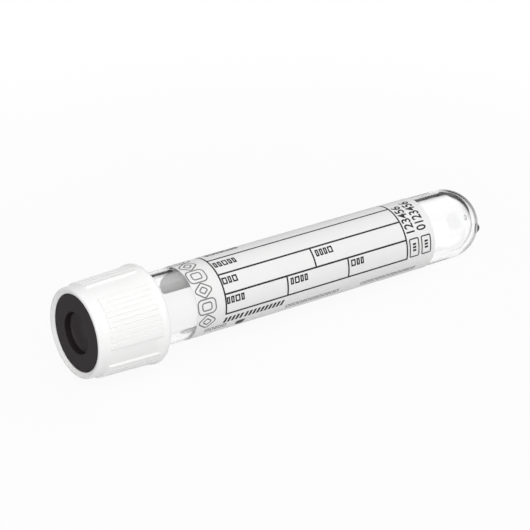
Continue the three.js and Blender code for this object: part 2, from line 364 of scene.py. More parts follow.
def thread_rule(here: Place, size: Sizes) -> Place:
    """Raises the ridges of a multi-start thread on one wall.

    Args:
        here: A point of the wall.
        size: Wall and Crest radii, Lead, Starts, Turn, Start, Width and Fade.

    Returns:
        The point's new place.
    """
    radius = here.radius()
    turned_by = here.bearing().wrapped(0.0, 360.0 / size["Starts"])
    across = abs(here.z - size["Start"] - size["Lead"] * turned_by / 360.0)
    half = size["Width"] * 0.5
    flank = 1.0 - across.eased(half * 0.45, half)
    ends = turned_by.eased(0.0, size["Fade"]) * (size["Turn"] - turned_by).eased(0.0, size["Fade"])
    on_wall = 1.0 - abs(radius - size["Wall"]).eased(*ON_WALL)
    return here.at_radius(radius + (size["Crest"] - size["Wall"]) * flank * ends * on_wall)


def thread_sizes(wall: float, crest: float, start: float) -> dict[str, float]:
    """Gives the sizes of a thread on one wall; the tube's and the cap's run in each other.

    Args:
        wall: The wall's radius.
        crest: The ridges' radius.
        start: The station where the ridges start.

    Returns:
        The inputs of the thread's rule.
    """
    return {
        "Wall": wall,
        "Crest": crest,
        "Lead": THREAD_LEAD,
        "Starts": THREAD_STARTS,
        "Turn": THREAD_TURN,
        "Start": start,
        "Width": RIDGE_WIDTH,
        "Fade": THREAD_FADE,
    }


def pip_rule(here: Place, size: Sizes) -> Place:
    """Raises one small round pip on the outer face of the tube's round end.

    Args:
        here: A point of the tube.
        size: Up, Front and Along, which point to the pip from the end's centre, and its Height and
            Spread.

    Returns:
        The point's new place.
    """
    along = here.z - DOME_CENTRE
    reach = (here.x * here.x + here.y * here.y + along * along) ** 0.5
    up, front, on = size["Up"], size["Front"], size["Along"]
    towards = here.x * up + here.y * front + along * on
    off = (reach * reach - towards * towards).top(0.0) ** 0.5
    on_face = 1.0 - abs(reach - END_RADIUS).eased(*ON_WALL)
    flank = 1.0 - off.eased(size["Spread"] * 0.25, size["Spread"])
    lift = size["Height"] * flank * on_face * towards.eased(0.0, 0.1)
    return Place(here.x + lift * up, here.y + lift * front, here.z + lift * on)


def grip_rule(here: Place, size: Sizes) -> Place:
    """Raises the cap's grips over its skirt, each with its row of fine grooves.

    Args:
        here: A point of the skirt.
        size: Top, Growth, Start, Count, Span, Centre, Edge, Front, Grooves, Pitch, Groove Span,
            Groove Depth and Inside.

    Returns:
        The point's new place.
    """
    radius = here.radius()
    sector = 360.0 / size["Count"]
    turned_by = (here.bearing() - size["Centre"]).wrapped(sector * -0.5, sector * 0.5)
    half_edge = size["Edge"] * 0.5
    side = (size["Span"] * 0.5 - abs(turned_by)).eased(half_edge * -1.0, half_edge)
    from_groove = abs(turned_by.wrapped(size["Pitch"] * -0.5, size["Pitch"] * 0.5))
    groove = 1.0 - from_groove.eased(size["Groove Span"] * 0.12, size["Groove Span"] * 0.5)
    in_row = (size["Grooves"] * size["Pitch"] * 0.5 - abs(turned_by)).eased(*SWITCH)
    start = here.z - size["Start"]
    grip = size["Top"] + size["Growth"] * start - groove * in_row * size["Groove Depth"]
    front = start.eased(0.0, size["Front"])
    outside = (radius - size["Inside"]).eased(*SWITCH)
    return here.at_radius(radius + (grip - radius).top(0.0) * side * front * outside)


def wrap_rule(here: Place, size: Sizes) -> Place:
    """Wraps a flat sheet round the drafted tube: x runs along it, y round it and z stands off it.

    Args:
        here: A point of the flat sheet.
        size: Skew, and Lift over the tube's wall.

    Returns:
        The point's new place.
    """
    wall = here.x.scaled(DRAFT_START, DOME_CENTRE, TUBE_RADIUS, END_RADIUS)
    radius = wall + size["Lift"] + here.z
    bearing = here.y / label_radius()
    station = here.x + here.y * size["Skew"]
    cosine, sine = here.y.math("COSINE", bearing), here.y.math("SINE", bearing)
    return Place(radius * cosine, radius * sine, station)


def label_radius() -> float:
    """Returns the radius at which arcs on the label are measured."""
    return TUBE_RADIUS + LABEL_LIFT + LABEL_THICKNESS


def arc_length(degrees: float) -> float:
    """Returns the length of an arc round the label."""
    return math.radians(degrees) * label_radius()


# ---- Meshes ----


def rounded(corners: Sequence[Spot], closed: bool = False, steps: int = 6) -> list[Point]:
    """Turns the corners of an outline into arcs, with a point of support just past each arc.

    Args:
        corners: (x, y, round) of each corner, in order; a round of 0 stays sharp.
        closed: True if the last corner joins the first.
        steps: Faces in each arc.

    Returns:
        The outline's points.
    """
    points: list[Point] = []
    for i, (x, y, size) in enumerate(corners):
        here = Vector((x, y))
        if size <= 0 or (not closed and i in (0, len(corners) - 1)):
            points.append((x, y))
            continue
        back = Vector(corners[i - 1][:2]) - here
        on = Vector(corners[(i + 1) % len(corners)][:2]) - here
        half = back.angle(on) / 2
        reach = size / math.tan(half)
        back_way, on_way = back.normalized(), on.normalized()
        centre = here + (back_way + on_way).normalized() * (size / math.sin(half))
        spoke = here + back_way * reach - centre
        sweep = math.copysign(math.pi - 2 * half, spoke.cross(here + on_way * reach - centre))
        support = size * 0.3
        if back.length > 2.2 * reach + support:
            points.append(tuple(here + back_way * (reach + support)))
        for k in range(steps + 1):
            turn = Matrix.Rotation(sweep * k / steps, 2)
            points.append(tuple(centre + turn @ spoke))
        if on.length > 2.2 * reach + support:
            points.append(tuple(here + on_way * (reach + support)))
    return points


def box_corners(low: Point, high: Point) -> list[Point]:
    """Returns a box's four corners, given the one with the least x and y and the one across from it."""
    return [low, (high[0], low[1]), high, (low[0], high[1])]


def rounded_box(low: Point, high: Point, size: float, steps: int) -> list[Point]:
    """Returns the outline of a box whose corners are arcs of one size, in steps."""
    return rounded([(x, y, size) for x, y in box_corners(low, high)], closed=True, steps=steps)


def arc(centre: Point, radius: float, start: float, end: float, steps: int) -> list[Point]:
    """Returns an arc's points; its angles are degrees, 0 outwards and 90 towards the round end."""
    turns = (math.radians(start + (end - start) * k / steps) for k in range(steps + 1))
    return [(centre[0] + radius * math.cos(t), centre[1] + radius * math.sin(t)) for t in turns]


def stations(profile: Sequence[Point], spacing: float, low: float, high: float) -> list[Point]:
    """Splits the long straight runs of a profile between two stations.

    Args:
        profile: (radius, station) points.
        spacing: Largest step along the axis.
        low: Where the fine part starts.
        high: Where it ends.

    Returns:
        The profile with points added.
    """
    fine: list[Point] = [profile[0]]
    for (r0, z0), (r1, z1) in zip(profile, profile[1:]):
        first, last = min(z0, z1), max(z0, z1)
        inner = sorted({z0, z1, min(max(low, first), last), max(min(high, last), first)})
        if z1 < z0:
            inner.reverse()
        for a, b in zip(inner, inner[1:]):
            within = low - 1e-6 <= min(a, b) and max(a, b) <= high + 1e-6
            count = max(1, math.ceil(abs(b - a) / spacing - 1e-6)) if within else 1
            for k in range(1, count + 1):
                z = a + (b - a) * k / count
                fine.append((r0 + (r1 - r0) * (z - z0) / (z1 - z0), z))
        if z0 == z1:
            fine.append((r1, z1))
    return fine


def turned(
    name: str, profile: Sequence[Point], bearings: Sequence[float], closed: bool = False
) -> Object:
    """Turns a profile about the axis.

    Args:
        name: The piece's name.
        profile: (radius, station) points; one at radius 0 becomes a single pole.
        bearings: The angles round the axis, in degrees, at which the profile is set.
        closed: True if the profile's last point joins its first.

    Returns:
        The new object, in the axis's own millimetres.
    """
    around = [(math.cos(math.radians(b)), math.sin(math.radians(b))) for b in bearings]
    made = bmesh.new()
    rings: list[list[BMVert]] = []
    for radius, station in profile:
        if radius < 1e-6:
            rings.append([made.verts.new((0, 0, station))])
        else:
            rings.append([made.verts.new((radius * c, radius * s, station)) for c, s in around])
    pairs = list(zip(rings, rings[1:])) + ([(rings[-1], rings[0])] if closed else [])
    count = len(around)
    for first, second in pairs:
        for i in range(count):
            j = (i + 1) % count
            corners = [first[i % len(first)], first[j % len(first)]]
            corners += [second[j % len(second)], second[i % len(second)]]
            made.faces.new(list(dict.fromkeys(corners)))
    bmesh.ops.recalc_face_normals(made, faces=made.faces)
    return as_object(name, made)


def as_object(name: str, made: BMesh) -> Object:
    """Makes an object of a finished bmesh and frees it.

    Args:
        name: The object's name.
        made: The mesh.

    Returns:
        The object, linked to the scene.
    """
    mesh = bpy.data.meshes.new(name)
    made.to_mesh(mesh)
    made.free()
    piece = bpy.data.objects.new(name, mesh)
    bpy.context.scene.collection.objects.link(piece)
    return piece


def even(count: int) -> list[float]:
    """Returns bearings evenly spaced round the axis."""
    return [360 * i / count for i in range(count)]


def settle(
    piece: Object, body: Body, replaced: Iterable[str] = (), crease: float = 32
) -> Object:
    """Places a finished mesh in the shared frame and says what it belongs to.

    Args:
        piece: The piece, in the axis's own millimetres.
        body: The body that it rides on.
        replaced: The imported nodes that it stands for.
        crease: Edges that turn more than this many degrees stay sharp.

    Returns:
        The same piece.
    """
    piece.data.transform(AXIS.matrix())
    piece.data.shade_smooth()
    piece.data.set_sharp_from_angle(angle=math.radians(crease))
    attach(piece, body.value)
    if replaced:
        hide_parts(*replaced)
    LOG.info("%s: %d faces on %s", piece.name, len(piece.data.polygons), body.value)
    return piece


# ---- Finishes ----


class Finish:
    """A material's tree: its shader, its output and coordinates that lie along the tube."""

    def __init__(self, name: str) -> None:
        """Makes an empty material, with coordinates in the axis's own millimetres.

        Args:
            name: The material's name.
        """
        self.material = bpy.data.materials.new(name)
        self.material.use_nodes = True
        self.material.node_tree.nodes.clear()
        self.nodes = Nodes(self.material.node_tree)
        coordinates = self.nodes.add("ShaderNodeTexCoord")
        where, turn, scale = AXIS.matrix().inverted().decompose()
        values = {
            "Vector": coordinates.outputs["Object"],
            "Location": where,
            "Rotation": turn.to_euler(),
            "Scale": scale,
        }
        mapping = self.nodes.add("ShaderNodeMapping", {"vector_type": "POINT"}, values)
        self.millimetres = mapping.outputs[0]

    def noise(
        self, scale: float, detail: float = 2.0, stretch: Spot = (1, 1, 1), rough: float = 0.5
    ) -> Number:
        """A noise about the piece.

        Args:
            scale: Features to a millimetre.
            detail: Octaves.
            stretch: How much finer it is along each axis of the tube.
            rough: How strong the fine octaves are.

        Returns:
            The noise, from 0 to 1.
        """
        where = self.nodes.vector("MULTIPLY", self.millimetres, stretch)
        values = {"Vector": where, "Scale": scale, "Detail": detail, "Roughness": rough}
        return self.nodes.number(self.nodes.add("ShaderNodeTexNoise", None, values))

    def blend(self, share: Number, first: Colour, second: Colour) -> NodeSocket:
        """Mixes two colours, with a share of the second."""
        inputs = {0: share, 6: (*first, 1), 7: (*second, 1)}
        return self.nodes.add("ShaderNodeMix", {"data_type": "RGBA"}, inputs).outputs[2]

    def shade(self, colour: Colour, share: Number, depth: float) -> NodeSocket:
        """Darkens a colour where a pattern is low, by up to a depth."""
        return self.blend(share, tuple(c * (1 - depth) for c in colour), colour)

    def relief(self, height: Number, depth_mm: float, strength: float = 1.0) -> NodeSocket:
        """Makes a bump from a height of 0 to 1, whose whole range has a depth."""
        values = {"Height": height, "Distance": depth_mm * MM, "Strength": strength}
        return self.nodes.add("ShaderNodeBump", None, values).outputs[0]

    def principled(self, values: Mapping[str, object]) -> Node:
        """Makes a Principled shader, with some of its sockets set by name."""
        return self.nodes.add("ShaderNodeBsdfPrincipled", None, values)

    def close(self, shader: Node) -> Material:
        """Ends the tree with a shader and returns the finished material."""
        self.nodes.add("ShaderNodeOutputMaterial", None, {"Surface": shader.outputs[0]})
        return self.material


@dataclass(frozen=True)
class Moulded:
    """An opaque moulded surface, with a fine tooled grain and slow changes of gloss.

    Attributes:
        name: The material's name.
        colour: Its colour.
        roughness: Its mean roughness.
        gloss_change: How far the roughness wanders.
        grain: Grain features to a millimetre.
        grain_depth: How deep the grain is, in millimetres.
        tone: How much darker the colour gets in patches.
        specular: Strength of its plain reflection.
        depth: Share of light that scatters under the surface.
        reach: How far it scatters, in millimetres.
    """

    name: str
    colour: Colour
    roughness: float
    gloss_change: float
    grain: float
    grain_depth: float
    tone: float
    specular: float = 0.5
    depth: float = 0.0
    reach: float = 0.6

    def material(self) -> Material:
        """Builds the material.

        Returns:
            The finished material.
        """
        finish = Finish(self.name)
        grain = finish.noise(self.grain, detail=3.0)
        patches = finish.noise(0.35, detail=3.0, stretch=(1, 1, 0.5))
        streaks = finish.noise(2.4, stretch=(1, 1, 0.12))
        rough = self.roughness + (patches - 0.5) * self.gloss_change + (streaks - 0.5) * 0.05
        values = {
            "Base Color": finish.shade(self.colour, patches * 0.6 + streaks * 0.4, self.tone),
            "Roughness": rough,
            "Specular IOR Level": self.specular,
            "Subsurface Weight": self.depth,
            "Subsurface Radius": (self.reach * MM,) * 3,
            "Normal": finish.relief(grain, self.grain_depth),
        }
        if not self.depth:
            del values["Subsurface Weight"], values["Subsurface Radius"]
        return finish.close(finish.principled(values))


@dataclass(frozen=True)
class ClearPlastic:
    """Clear moulded polyester, which lets lamps through to what is inside and behind it.

    The round end's colour has painted shade: it turns dark where the wall turns away, standing in for the
    darker surroundings that such a wall shows.

    Attributes:
        name: The material's name.
        colour: Its own colour, nearly none.
        painted_shade_colour: What its colour tends to where shade is painted.
        roughness: Its least roughness.
        index: Its refractive index.
        end_from: Stations past the end's centre over which the painted shade sets in.
        outer_span: Distances from that centre over which a face counts as the outer one.
        raised_span: Distances over which it counts as the pip's or the gate's.
        gate_span: Heights past the centre over which the gate begins.
        rim_span: Facing values over which shade is painted on the outer face.
        upper_span: Heights over the axis over which that painted shade gets stronger.
        lower_share: Its strength below them.
        edge_span: Fresnel values over which shade is painted on the inner face.
        edge_share: How strong that painted shade is.
        gate_share: How strong the painted shade on the gate is.
        lamp_colour: What one face lets through of a lamp's light.
    """

    name: str = "clear_polyester"
    colour: Colour = (0.997, 0.999, 0.998)
    painted_shade_colour: Colour = (0.003, 0.003, 0.003)
    roughness: float = 0.01
    index: float = 1.57
    end_from: Point = (-0.5, 1.0)
    outer_span: Point = (END_RADIUS - 0.5, END_RADIUS - 0.3)
    raised_span: Point = (END_RADIUS + 0.02, END_RADIUS + 0.12)
    gate_span: Point = (END_RADIUS - 0.02, END_RADIUS + 0.06)
    rim_span: Point = (0.52, 0.68)
    upper_span: Point = (0.0, 4.5)
    lower_share: float = 0.75
    edge_span: Point = (0.1, 0.45)
    edge_share: float = 0.85
    gate_share: float = 0.3
    lamp_colour: Colour = (0.95, 0.95, 0.95)

    def painted_end_shade(self, finish: Finish) -> Number:
        """How much shade is painted into the round end's colour, as dark outlines where its faces turn
        away.

        Args:
            finish: The material's tree.

        Returns:
            The share of painted shade, from 0 to 1.
        """
        nodes = finish.nodes
        weight = nodes.add("ShaderNodeLayerWeight", None, {"Blend": 0.5})
        fresnel = nodes.add("ShaderNodeFresnel", None, {"IOR": self.index})
        from_centre = nodes.vector("SUBTRACT", finish.millimetres, (0.0, 0.0, DOME_CENTRE))
        place, reach = nodes.place(from_centre), nodes.length(from_centre)
        outer = reach.eased(*self.outer_span)
        raised = reach.eased(*self.raised_span)
        on_end = place.z.eased(*self.end_from)
        upper = place.x.eased(*self.upper_span)
        # Painted shade: the outer face's colour darkens where it turns away, more on its upper side
        rim = outer * on_end * (1.0 - raised) * nodes.number(weight, "Facing").eased(*self.rim_span)
        rim = rim * (upper * (1.0 - self.lower_share) + self.lower_share)
        gate = place.z.eased(*self.gate_span)
        edge = on_end * (1.0 - outer) * nodes.number(fresnel).eased(*self.edge_span)
        return rim.top(gate * self.gate_share).top(edge * self.edge_share)

    def material(self) -> Material:
        """Builds the material.

        Returns:
            The finished material.
        """
        finish = Finish(self.name)
        flow = finish.noise(0.5, stretch=(1, 1, 0.15))
        haze = finish.noise(0.8, detail=3.0)
        shader = finish.principled(
            {
                # The Base Color carries painted shade: dark outlines on the round end, its inner face and
                # the gate
                "Base Color": finish.blend(self.painted_end_shade(finish), self.colour, self.painted_shade_colour),
                "Roughness": self.roughness + haze * 0.02,
                "IOR": self.index,
                "Transmission Weight": 1.0,
                "Normal": finish.relief(flow, 0.004, 0.5),
            }
        )
        path = finish.nodes.add("ShaderNodeLightPath")
        open_way = finish.nodes.add("ShaderNodeBsdfTransparent", None, {0: (*self.lamp_colour, 1)})
        to_lamp = finish.nodes.number(path, "Is Shadow Ray")
        return finish.close(finish.nodes.mixed(to_lamp, shader, open_way))


@dataclass(frozen=True)
class Paper:
    """Coated label paper: a soft sheen over faint fibres.

    Attributes:
        name: The material's name.
        colour: Its colour.
        roughness: Its mean roughness.
        thinness: Share of light that comes through it.
        through: The colour of that light.
    """

    name: str = "label_paper"
    colour: Colour = (0.95, 0.95, 0.95)
    roughness: float = 0.5
    thinness: float = 0.15
    through: Colour = (0.96, 0.95, 0.92)

    def material(self) -> Material:
        """Builds the material.

        Returns:
            The finished material.
        """
        finish = Finish(self.name)
        fibres = finish.noise(5.0, detail=4.0, stretch=(1, 1, 0.35), rough=0.65)
        cloud = finish.noise(0.6)
        shader = finish.principled(
            {
                "Base Color": finish.shade(self.colour, fibres * 0.5 + cloud * 0.5, 0.045),
                "Roughness": self.roughness + (fibres - 0.5) * 0.12,
                "Specular IOR Level": 0.4,
                "Normal": finish.relief(fibres, 0.006),
            }
        )
        through = finish.nodes.add("ShaderNodeBsdfTranslucent", None, {0: (*self.through, 1)})
        return finish.close(finish.nodes.mixed(self.thinness, shader, through))


@dataclass(frozen=True)
class Ink:
    """Printing ink, a little uneven where it lies on the paper's fibres.

    Attributes:
        name: The material's name.
        colour: Its full colour.
        unevenness: How much darker it gets between the fibres.
        roughness: Its least roughness.
    """

    name: str
    colour: Colour
    unevenness: float = 0.25
    roughness: float = 0.42

    def material(self) -> Material:
        """Builds the material.

        Returns:
            The finished material.
        """
        finish = Finish(self.name)
        fibres = finish.noise(7.0, detail=3.0)
        shader = finish.principled(
            {
                "Base Color": finish.shade(self.colour, fibres, self.unevenness),
                "Roughness": self.roughness + fibres * 0.12,
                "Specular IOR Level": 0.3,
                "Normal": finish.relief(fibres, 0.003),
            }
        )
        return finish.close(shader)


# ---- The tube ----


@dataclass
class Tube:
    """The clear tube: open mouth, outside thread, slightly drafted wall and round end.

    The round end has its gate at the pole and one small pip off the axis. The gate's points are
    given as a share of its radius and a step from its foot or its top, and the thread's step is the
    largest one along the axis there.
    """

    end_wall: float = 1.05
    mouth_round: float = 0.25
    gate_radius: float = 0.68
    gate_height: float = 0.32
    gate_foot: Point = (0.86, 0.05)
    gate_top: tuple[Point, ...] = ((0.55, -0.03), (0.42, 0.0), (0.25, -0.05), (0.0, -0.07))
    ridge: float = 0.5
    thread_drop: float = 1.9
    pip_angle: float = 38.7
    pip_bearing: float = 96.5
    pip_radius: float = 0.98
    pip_height: float = 0.34
    sides: int = 192
    inner_steps: int = 28
    outer_steps: int = 84
    thread_step: float = 0.09

    def profile(self) -> list[Point]:
        """The wall's section, from the inner pole round the mouth to the outer pole.

        Returns:
            (radius, station) points.
        """
        dome = (0.0, DOME_CENTRE)
        inner = END_RADIUS - self.end_wall
        gate_turn = math.degrees(math.acos(self.gate_radius / END_RADIUS))
        foot = DOME_CENTRE + math.sqrt(END_RADIUS**2 - self.gate_radius**2)
        top = DOME_CENTRE + END_RADIUS + self.gate_height
        inside = arc(dome, inner, 90, 0, self.inner_steps)
        inside[0] = (0.0, DOME_CENTRE + inner)
        neck = [
            (TUBE_BORE, DRAFT_START, 0),
            (TUBE_BORE, MOUTH, self.mouth_round),
            (TUBE_RADIUS, MOUTH, self.mouth_round),
            (TUBE_RADIUS, DRAFT_START, 0),
        ]
        mouth = rounded(neck, steps=8)
        low = MOUTH + self.thread_drop - RIDGE_WIDTH
        high = low + THREAD_LEAD * THREAD_TURN / 360 + 2 * RIDGE_WIDTH
        gate = [(self.gate_radius * self.gate_foot[0], foot + self.gate_foot[1])]
        gate += [(self.gate_radius * share, top + step) for share, step in self.gate_top]
        half = len(mouth) // 2
        outside = stations(mouth[half:], self.thread_step, low, high)
        end = arc(dome, END_RADIUS, 0, gate_turn, self.outer_steps)
        return [*inside, *mouth[:half], *outside, *end, *gate]

    def build(self) -> Object:
        """Builds the tube, then its thread and its pip.

        Returns:
            The finished piece.
        """
        piece = turned("tube_clear_wall", self.profile(), even(self.sides))
        sizes = thread_sizes(TUBE_RADIUS, TUBE_RADIUS + self.ridge, MOUTH + self.thread_drop)
        clear = ClearPlastic().material()
        Shaper("tube_thread", thread_rule, sizes).apply(piece, clear)
        off, turn = math.radians(self.pip_angle), math.radians(self.pip_bearing)
        pip_sizes = {
            "Up": math.sin(off) * math.cos(turn),
            "Front": math.sin(off) * math.sin(turn),
            "Along": math.cos(off),
            "Height": self.pip_height,
            "Spread": self.pip_radius,
        }
        Shaper("tube_pip", pip_rule, pip_sizes).apply(piece, clear)
        return settle(piece, Body.TUBE, ["tube"])


# ---- The cap ----


@dataclass
class Cap:
    """The white screw cap: collar, four ribbed grips and flared rim, with seat, lip and thread inside.

    Its steps are the largest ones along the axis: over the grips' first run, the skirt and the thread.
    """

    length: float = 13.46
    face_bore: float = 6.67
    collar_radius: float = 7.74
    collar_length: float = 2.2
    face_front: float = 0.08
    face_round: float = 0.44
    face_crest: float = 7.18
    face_slope: float = 0.46
    bore_edge: float = 0.1
    skirt_radius: float = 7.98
    flare_start: float = 11.0
    rim_radius: float = 8.6
    rim_round: float = 0.5
    bore: float = 6.95
    lip_radius: float = 6.35
    lip_thickness: float = 0.5
    lead_in: float = 0.5
    grip_height: float = 0.34
    grip_front: float = 0.34
    grip_inside: float = 7.5
    grips: int = 4
    grip_span: float = 65.0
    grip_centre: float = 58.3
    grip_edge: float = 1.9
    grooves: int = 9
    groove_pitch: float = 6.15
    groove_span: float = 1.9
    groove_depth: float = 0.17
    ridge_crest: float = 6.45
    ridge_start: float = 6.5
    bore_seam: Point = (1.0, 1.1)
    flare_steps: int = 14
    grip_run: float = 0.5
    grip_step: float = 0.07
    skirt_step: float = 1.2
    thread_step: float = 0.16

    def profile(self) -> list[Point]:
        """The cap's section without its grips, as one closed outline.

        Returns:
            (radius, station) points.
        """
        rim_station = self.length - self.rim_round
        widening, run = self.rim_radius - self.skirt_radius, rim_station - self.flare_start
        flare = [
            (self.skirt_radius + widening * t * t * (3 - 2 * t), self.flare_start + run * t)
            for t in (k / self.flare_steps for k in range(self.flare_steps + 1))
        ]
        front_seam, back_seam = self.bore_seam
        face = [
            (self.face_bore, front_seam, 0),
            (self.face_bore, self.face_slope, self.bore_edge),
            (self.face_crest, self.face_front, 0.25),
            (self.collar_radius, self.face_front, self.face_round),
            (self.collar_radius, self.collar_length, 0),
        ]
        outside = [*rounded(face, steps=9), *flare]
        outside = stations(outside, self.grip_step, self.collar_length, self.collar_length + self.grip_run)
        outside = stations(outside, self.skirt_step, self.collar_length, self.flare_start)
        rim = arc((self.rim_radius - self.rim_round, rim_station), self.rim_round, 0, 90, 8)
        lip_back = MOUTH + self.lip_thickness
        bore = [
            (self.bore + self.lead_in, self.length, 0),
            (self.bore, self.length - self.lead_in, 0.2),
            (self.bore, lip_back, 0.1),
            (self.lip_radius, lip_back, 0.12),
            (self.lip_radius, MOUTH, 0.12),
            (self.face_bore, MOUTH, 0.05),
            (self.face_bore, back_seam, 0),
        ]
        inside = rounded(bore, steps=4)
        low = self.ridge_start - RIDGE_WIDTH
        high = self.ridge_start + THREAD_LEAD * THREAD_TURN / 360 + RIDGE_WIDTH
        return [*outside, *rim[1:], *stations(inside, self.thread_step, low, high)]

    def bearings(self) -> list[float]:
        """Angles round the axis, close together at the grips' edges and grooves.

        Returns:
            Increasing bearings in degrees, over one turn.
        """
        marks: list[float] = []
        groove_shares = (-0.5, -0.36, -0.22, 0, 0.22, 0.36, 0.5)
        edge_shares = (-0.75, -0.5, -0.3, -0.1, 0.1, 0.3, 0.5, 0.75)
        gap = 360 / self.grips - self.grip_span
        for i in range(self.grips):
            centre = self.grip_centre + 360 * i / self.grips
            for j in range(self.grooves):
                groove = centre + self.groove_pitch * (j - (self.grooves - 1) / 2)
                marks += [groove + self.groove_span * share for share in groove_shares]
                marks.append(groove + self.groove_pitch / 2)
            marks.append(centre - self.groove_pitch * self.grooves / 2)
            for side in (-0.5, 0.5):
                edge = centre + self.grip_span * side
                marks += [edge + self.grip_edge * share for share in edge_shares]
            end = centre + self.grip_span / 2
            marks += [end + gap * share for share in (0.2, 0.35, 0.5, 0.65, 0.8)]
        return sorted(mark % 360 for mark in marks)

    def build(self) -> Object:
        """Builds the cap, then its grips and its inside thread.

        Returns:
            The finished piece.
        """
        white = Moulded(
            name="white_moulding",
            colour=(0.9, 0.9, 0.895),
            roughness=0.36,
            gloss_change=0.08,
            grain=9.0,
            grain_depth=0.004,
            tone=0.02,
            depth=0.15,
        ).material()
        piece = turned("cap_ribbed_shell", self.profile(), self.bearings(), closed=True)
        growth = (self.skirt_radius - self.collar_radius) / (self.flare_start - self.collar_length)
        grip_sizes = {
            "Top": self.collar_radius + self.grip_height,
            "Growth": growth,
            "Start": self.collar_length,
            "Count": self.grips,
            "Span": self.grip_span,
            "Centre": self.grip_centre,
            "Edge": self.grip_edge,
            "Front": self.grip_front,
            "Grooves": self.grooves,
            "Pitch": self.groove_pitch,
            "Groove Span": self.groove_span,
            "Groove Depth": self.groove_depth,
            "Inside": self.grip_inside,
        }
        Shaper("cap_grips", grip_rule, grip_sizes).apply(piece, white)
        sizes = thread_sizes(self.bore, self.ridge_crest, self.ridge_start)
        Shaper("cap_thread", thread_rule, sizes).apply(piece, white)
        return settle(piece, Body.CAP, ["cap"])


@dataclass
class RetainingRing:
    """The black washer in the cap's face, which holds the stopper in."""

    radius: float = 6.64
    bore: float = 3.6
    recess: float = 0.48
    thickness: float = 1.42
    bore_edge: float = 0.12
    rim_edge: float = 0.16
    back_edge: float = 0.06
    sides: int = 192

    def build(self) -> Object:
        """Builds the ring.

        Returns:
            The finished piece.
        """
        back = self.recess + self.thickness
        corners = [
            (self.bore, self.recess, self.bore_edge),
            (self.radius, self.recess, self.rim_edge),
            (self.radius, back, self.back_edge),
            (self.bore, back, self.back_edge),
        ]
        profile = rounded(corners, closed=True)
        piece = turned("retaining_ring_black", profile, even(self.sides), closed=True)
        black = Moulded(
            name="black_moulding",
            colour=(0.021, 0.0165, 0.018),
            roughness=0.5,
            gloss_change=0.1,
            grain=7.0,
            grain_depth=0.006,
            tone=0.2,
            specular=0.12,
        )
        piece.data.materials.append(black.material())
        return settle(piece, Body.CAP, ["retaining_ring"])


@dataclass
class Stopper:
    """The rubber stopper: dished boss, flange, plug with two sealing beads and a hollow underneath."""

    boss_radius: float = 3.57
    boss_top: float = 1.52
    boss_edge: float = 3.45
    dish_depth: float = 0.62
    dish_floor: float = 1.7
    flange_radius: float = 6.6
    flange_top: float = 1.95
    flange_back: float = 3.35
    flange_round: float = 0.3
    plug_radius: float = 5.35
    plug_end: float = 9.4
    plug_waist: float = 0.18
    plug_taper: float = 0.8
    hollow_radius: float = 3.3
    hollow_depth: float = 3.3
    dish_steps: int = 12
    sides: int = 160

    def profile(self) -> list[Point]:
        """The stopper's section, from the pole of its boss to the pole of its hollow.

        Returns:
            (radius, station) points.
        """
        back, end, plug = self.flange_back, self.plug_end, self.plug_radius
        bead, waist = (end - back) / 8, plug - self.plug_waist
        slope, quarter = self.boss_edge - self.dish_floor, math.pi / 2
        dish = [(0.0, self.boss_top + self.dish_depth)]
        dish += [
            (self.dish_floor + slope * math.sin(t), self.boss_top + self.dish_depth * math.cos(t))
            for t in (quarter * k / self.dish_steps for k in range(self.dish_steps + 1))
        ]
        rest = [
            (self.boss_edge, self.boss_top, 0.0),
            (self.boss_radius, self.boss_top, 0.06),
            (self.boss_radius, self.flange_top, 0.0),
            (self.flange_radius, self.flange_top, self.flange_round),
            (self.flange_radius, back, 0.12),
            (plug, back, 0.06),
            (plug, back + 2.5 * bead, 0.5),
            (waist, back + 3 * bead, 0.4),
            (waist, back + 4 * bead, 0.4),
            (plug, back + 4.6 * bead, 0.5),
            (plug, end - self.plug_taper, 0.4),
            (plug - self.plug_taper, end, 0.2),
            (self.hollow_radius, end, 0.2),
            (self.hollow_radius, end - self.hollow_depth * 0.6, 0.3),
            (self.hollow_radius * 0.7, end - self.hollow_depth * 0.88, 0.6),
            (0.0, end - self.hollow_depth, 0),
        ]
        return [*dish, *rounded(rest)[1:]]

    def build(self) -> Object:
        """Builds the stopper.

        Returns:
            The finished piece.
        """
        piece = turned("stopper_rubber_plug", self.profile(), even(self.sides))
        rubber = Moulded(
            name="dark_rubber",
            colour=(0.05, 0.043, 0.046),
            roughness=0.5,
            gloss_change=0.12,
            grain=5.0,
            grain_depth=0.009,
            tone=0.3,
            specular=0.15,
        )
        piece.data.materials.append(rubber.material())
        return settle(piece, Body.STOPPER, ["stopper"])


# ---- The label ----


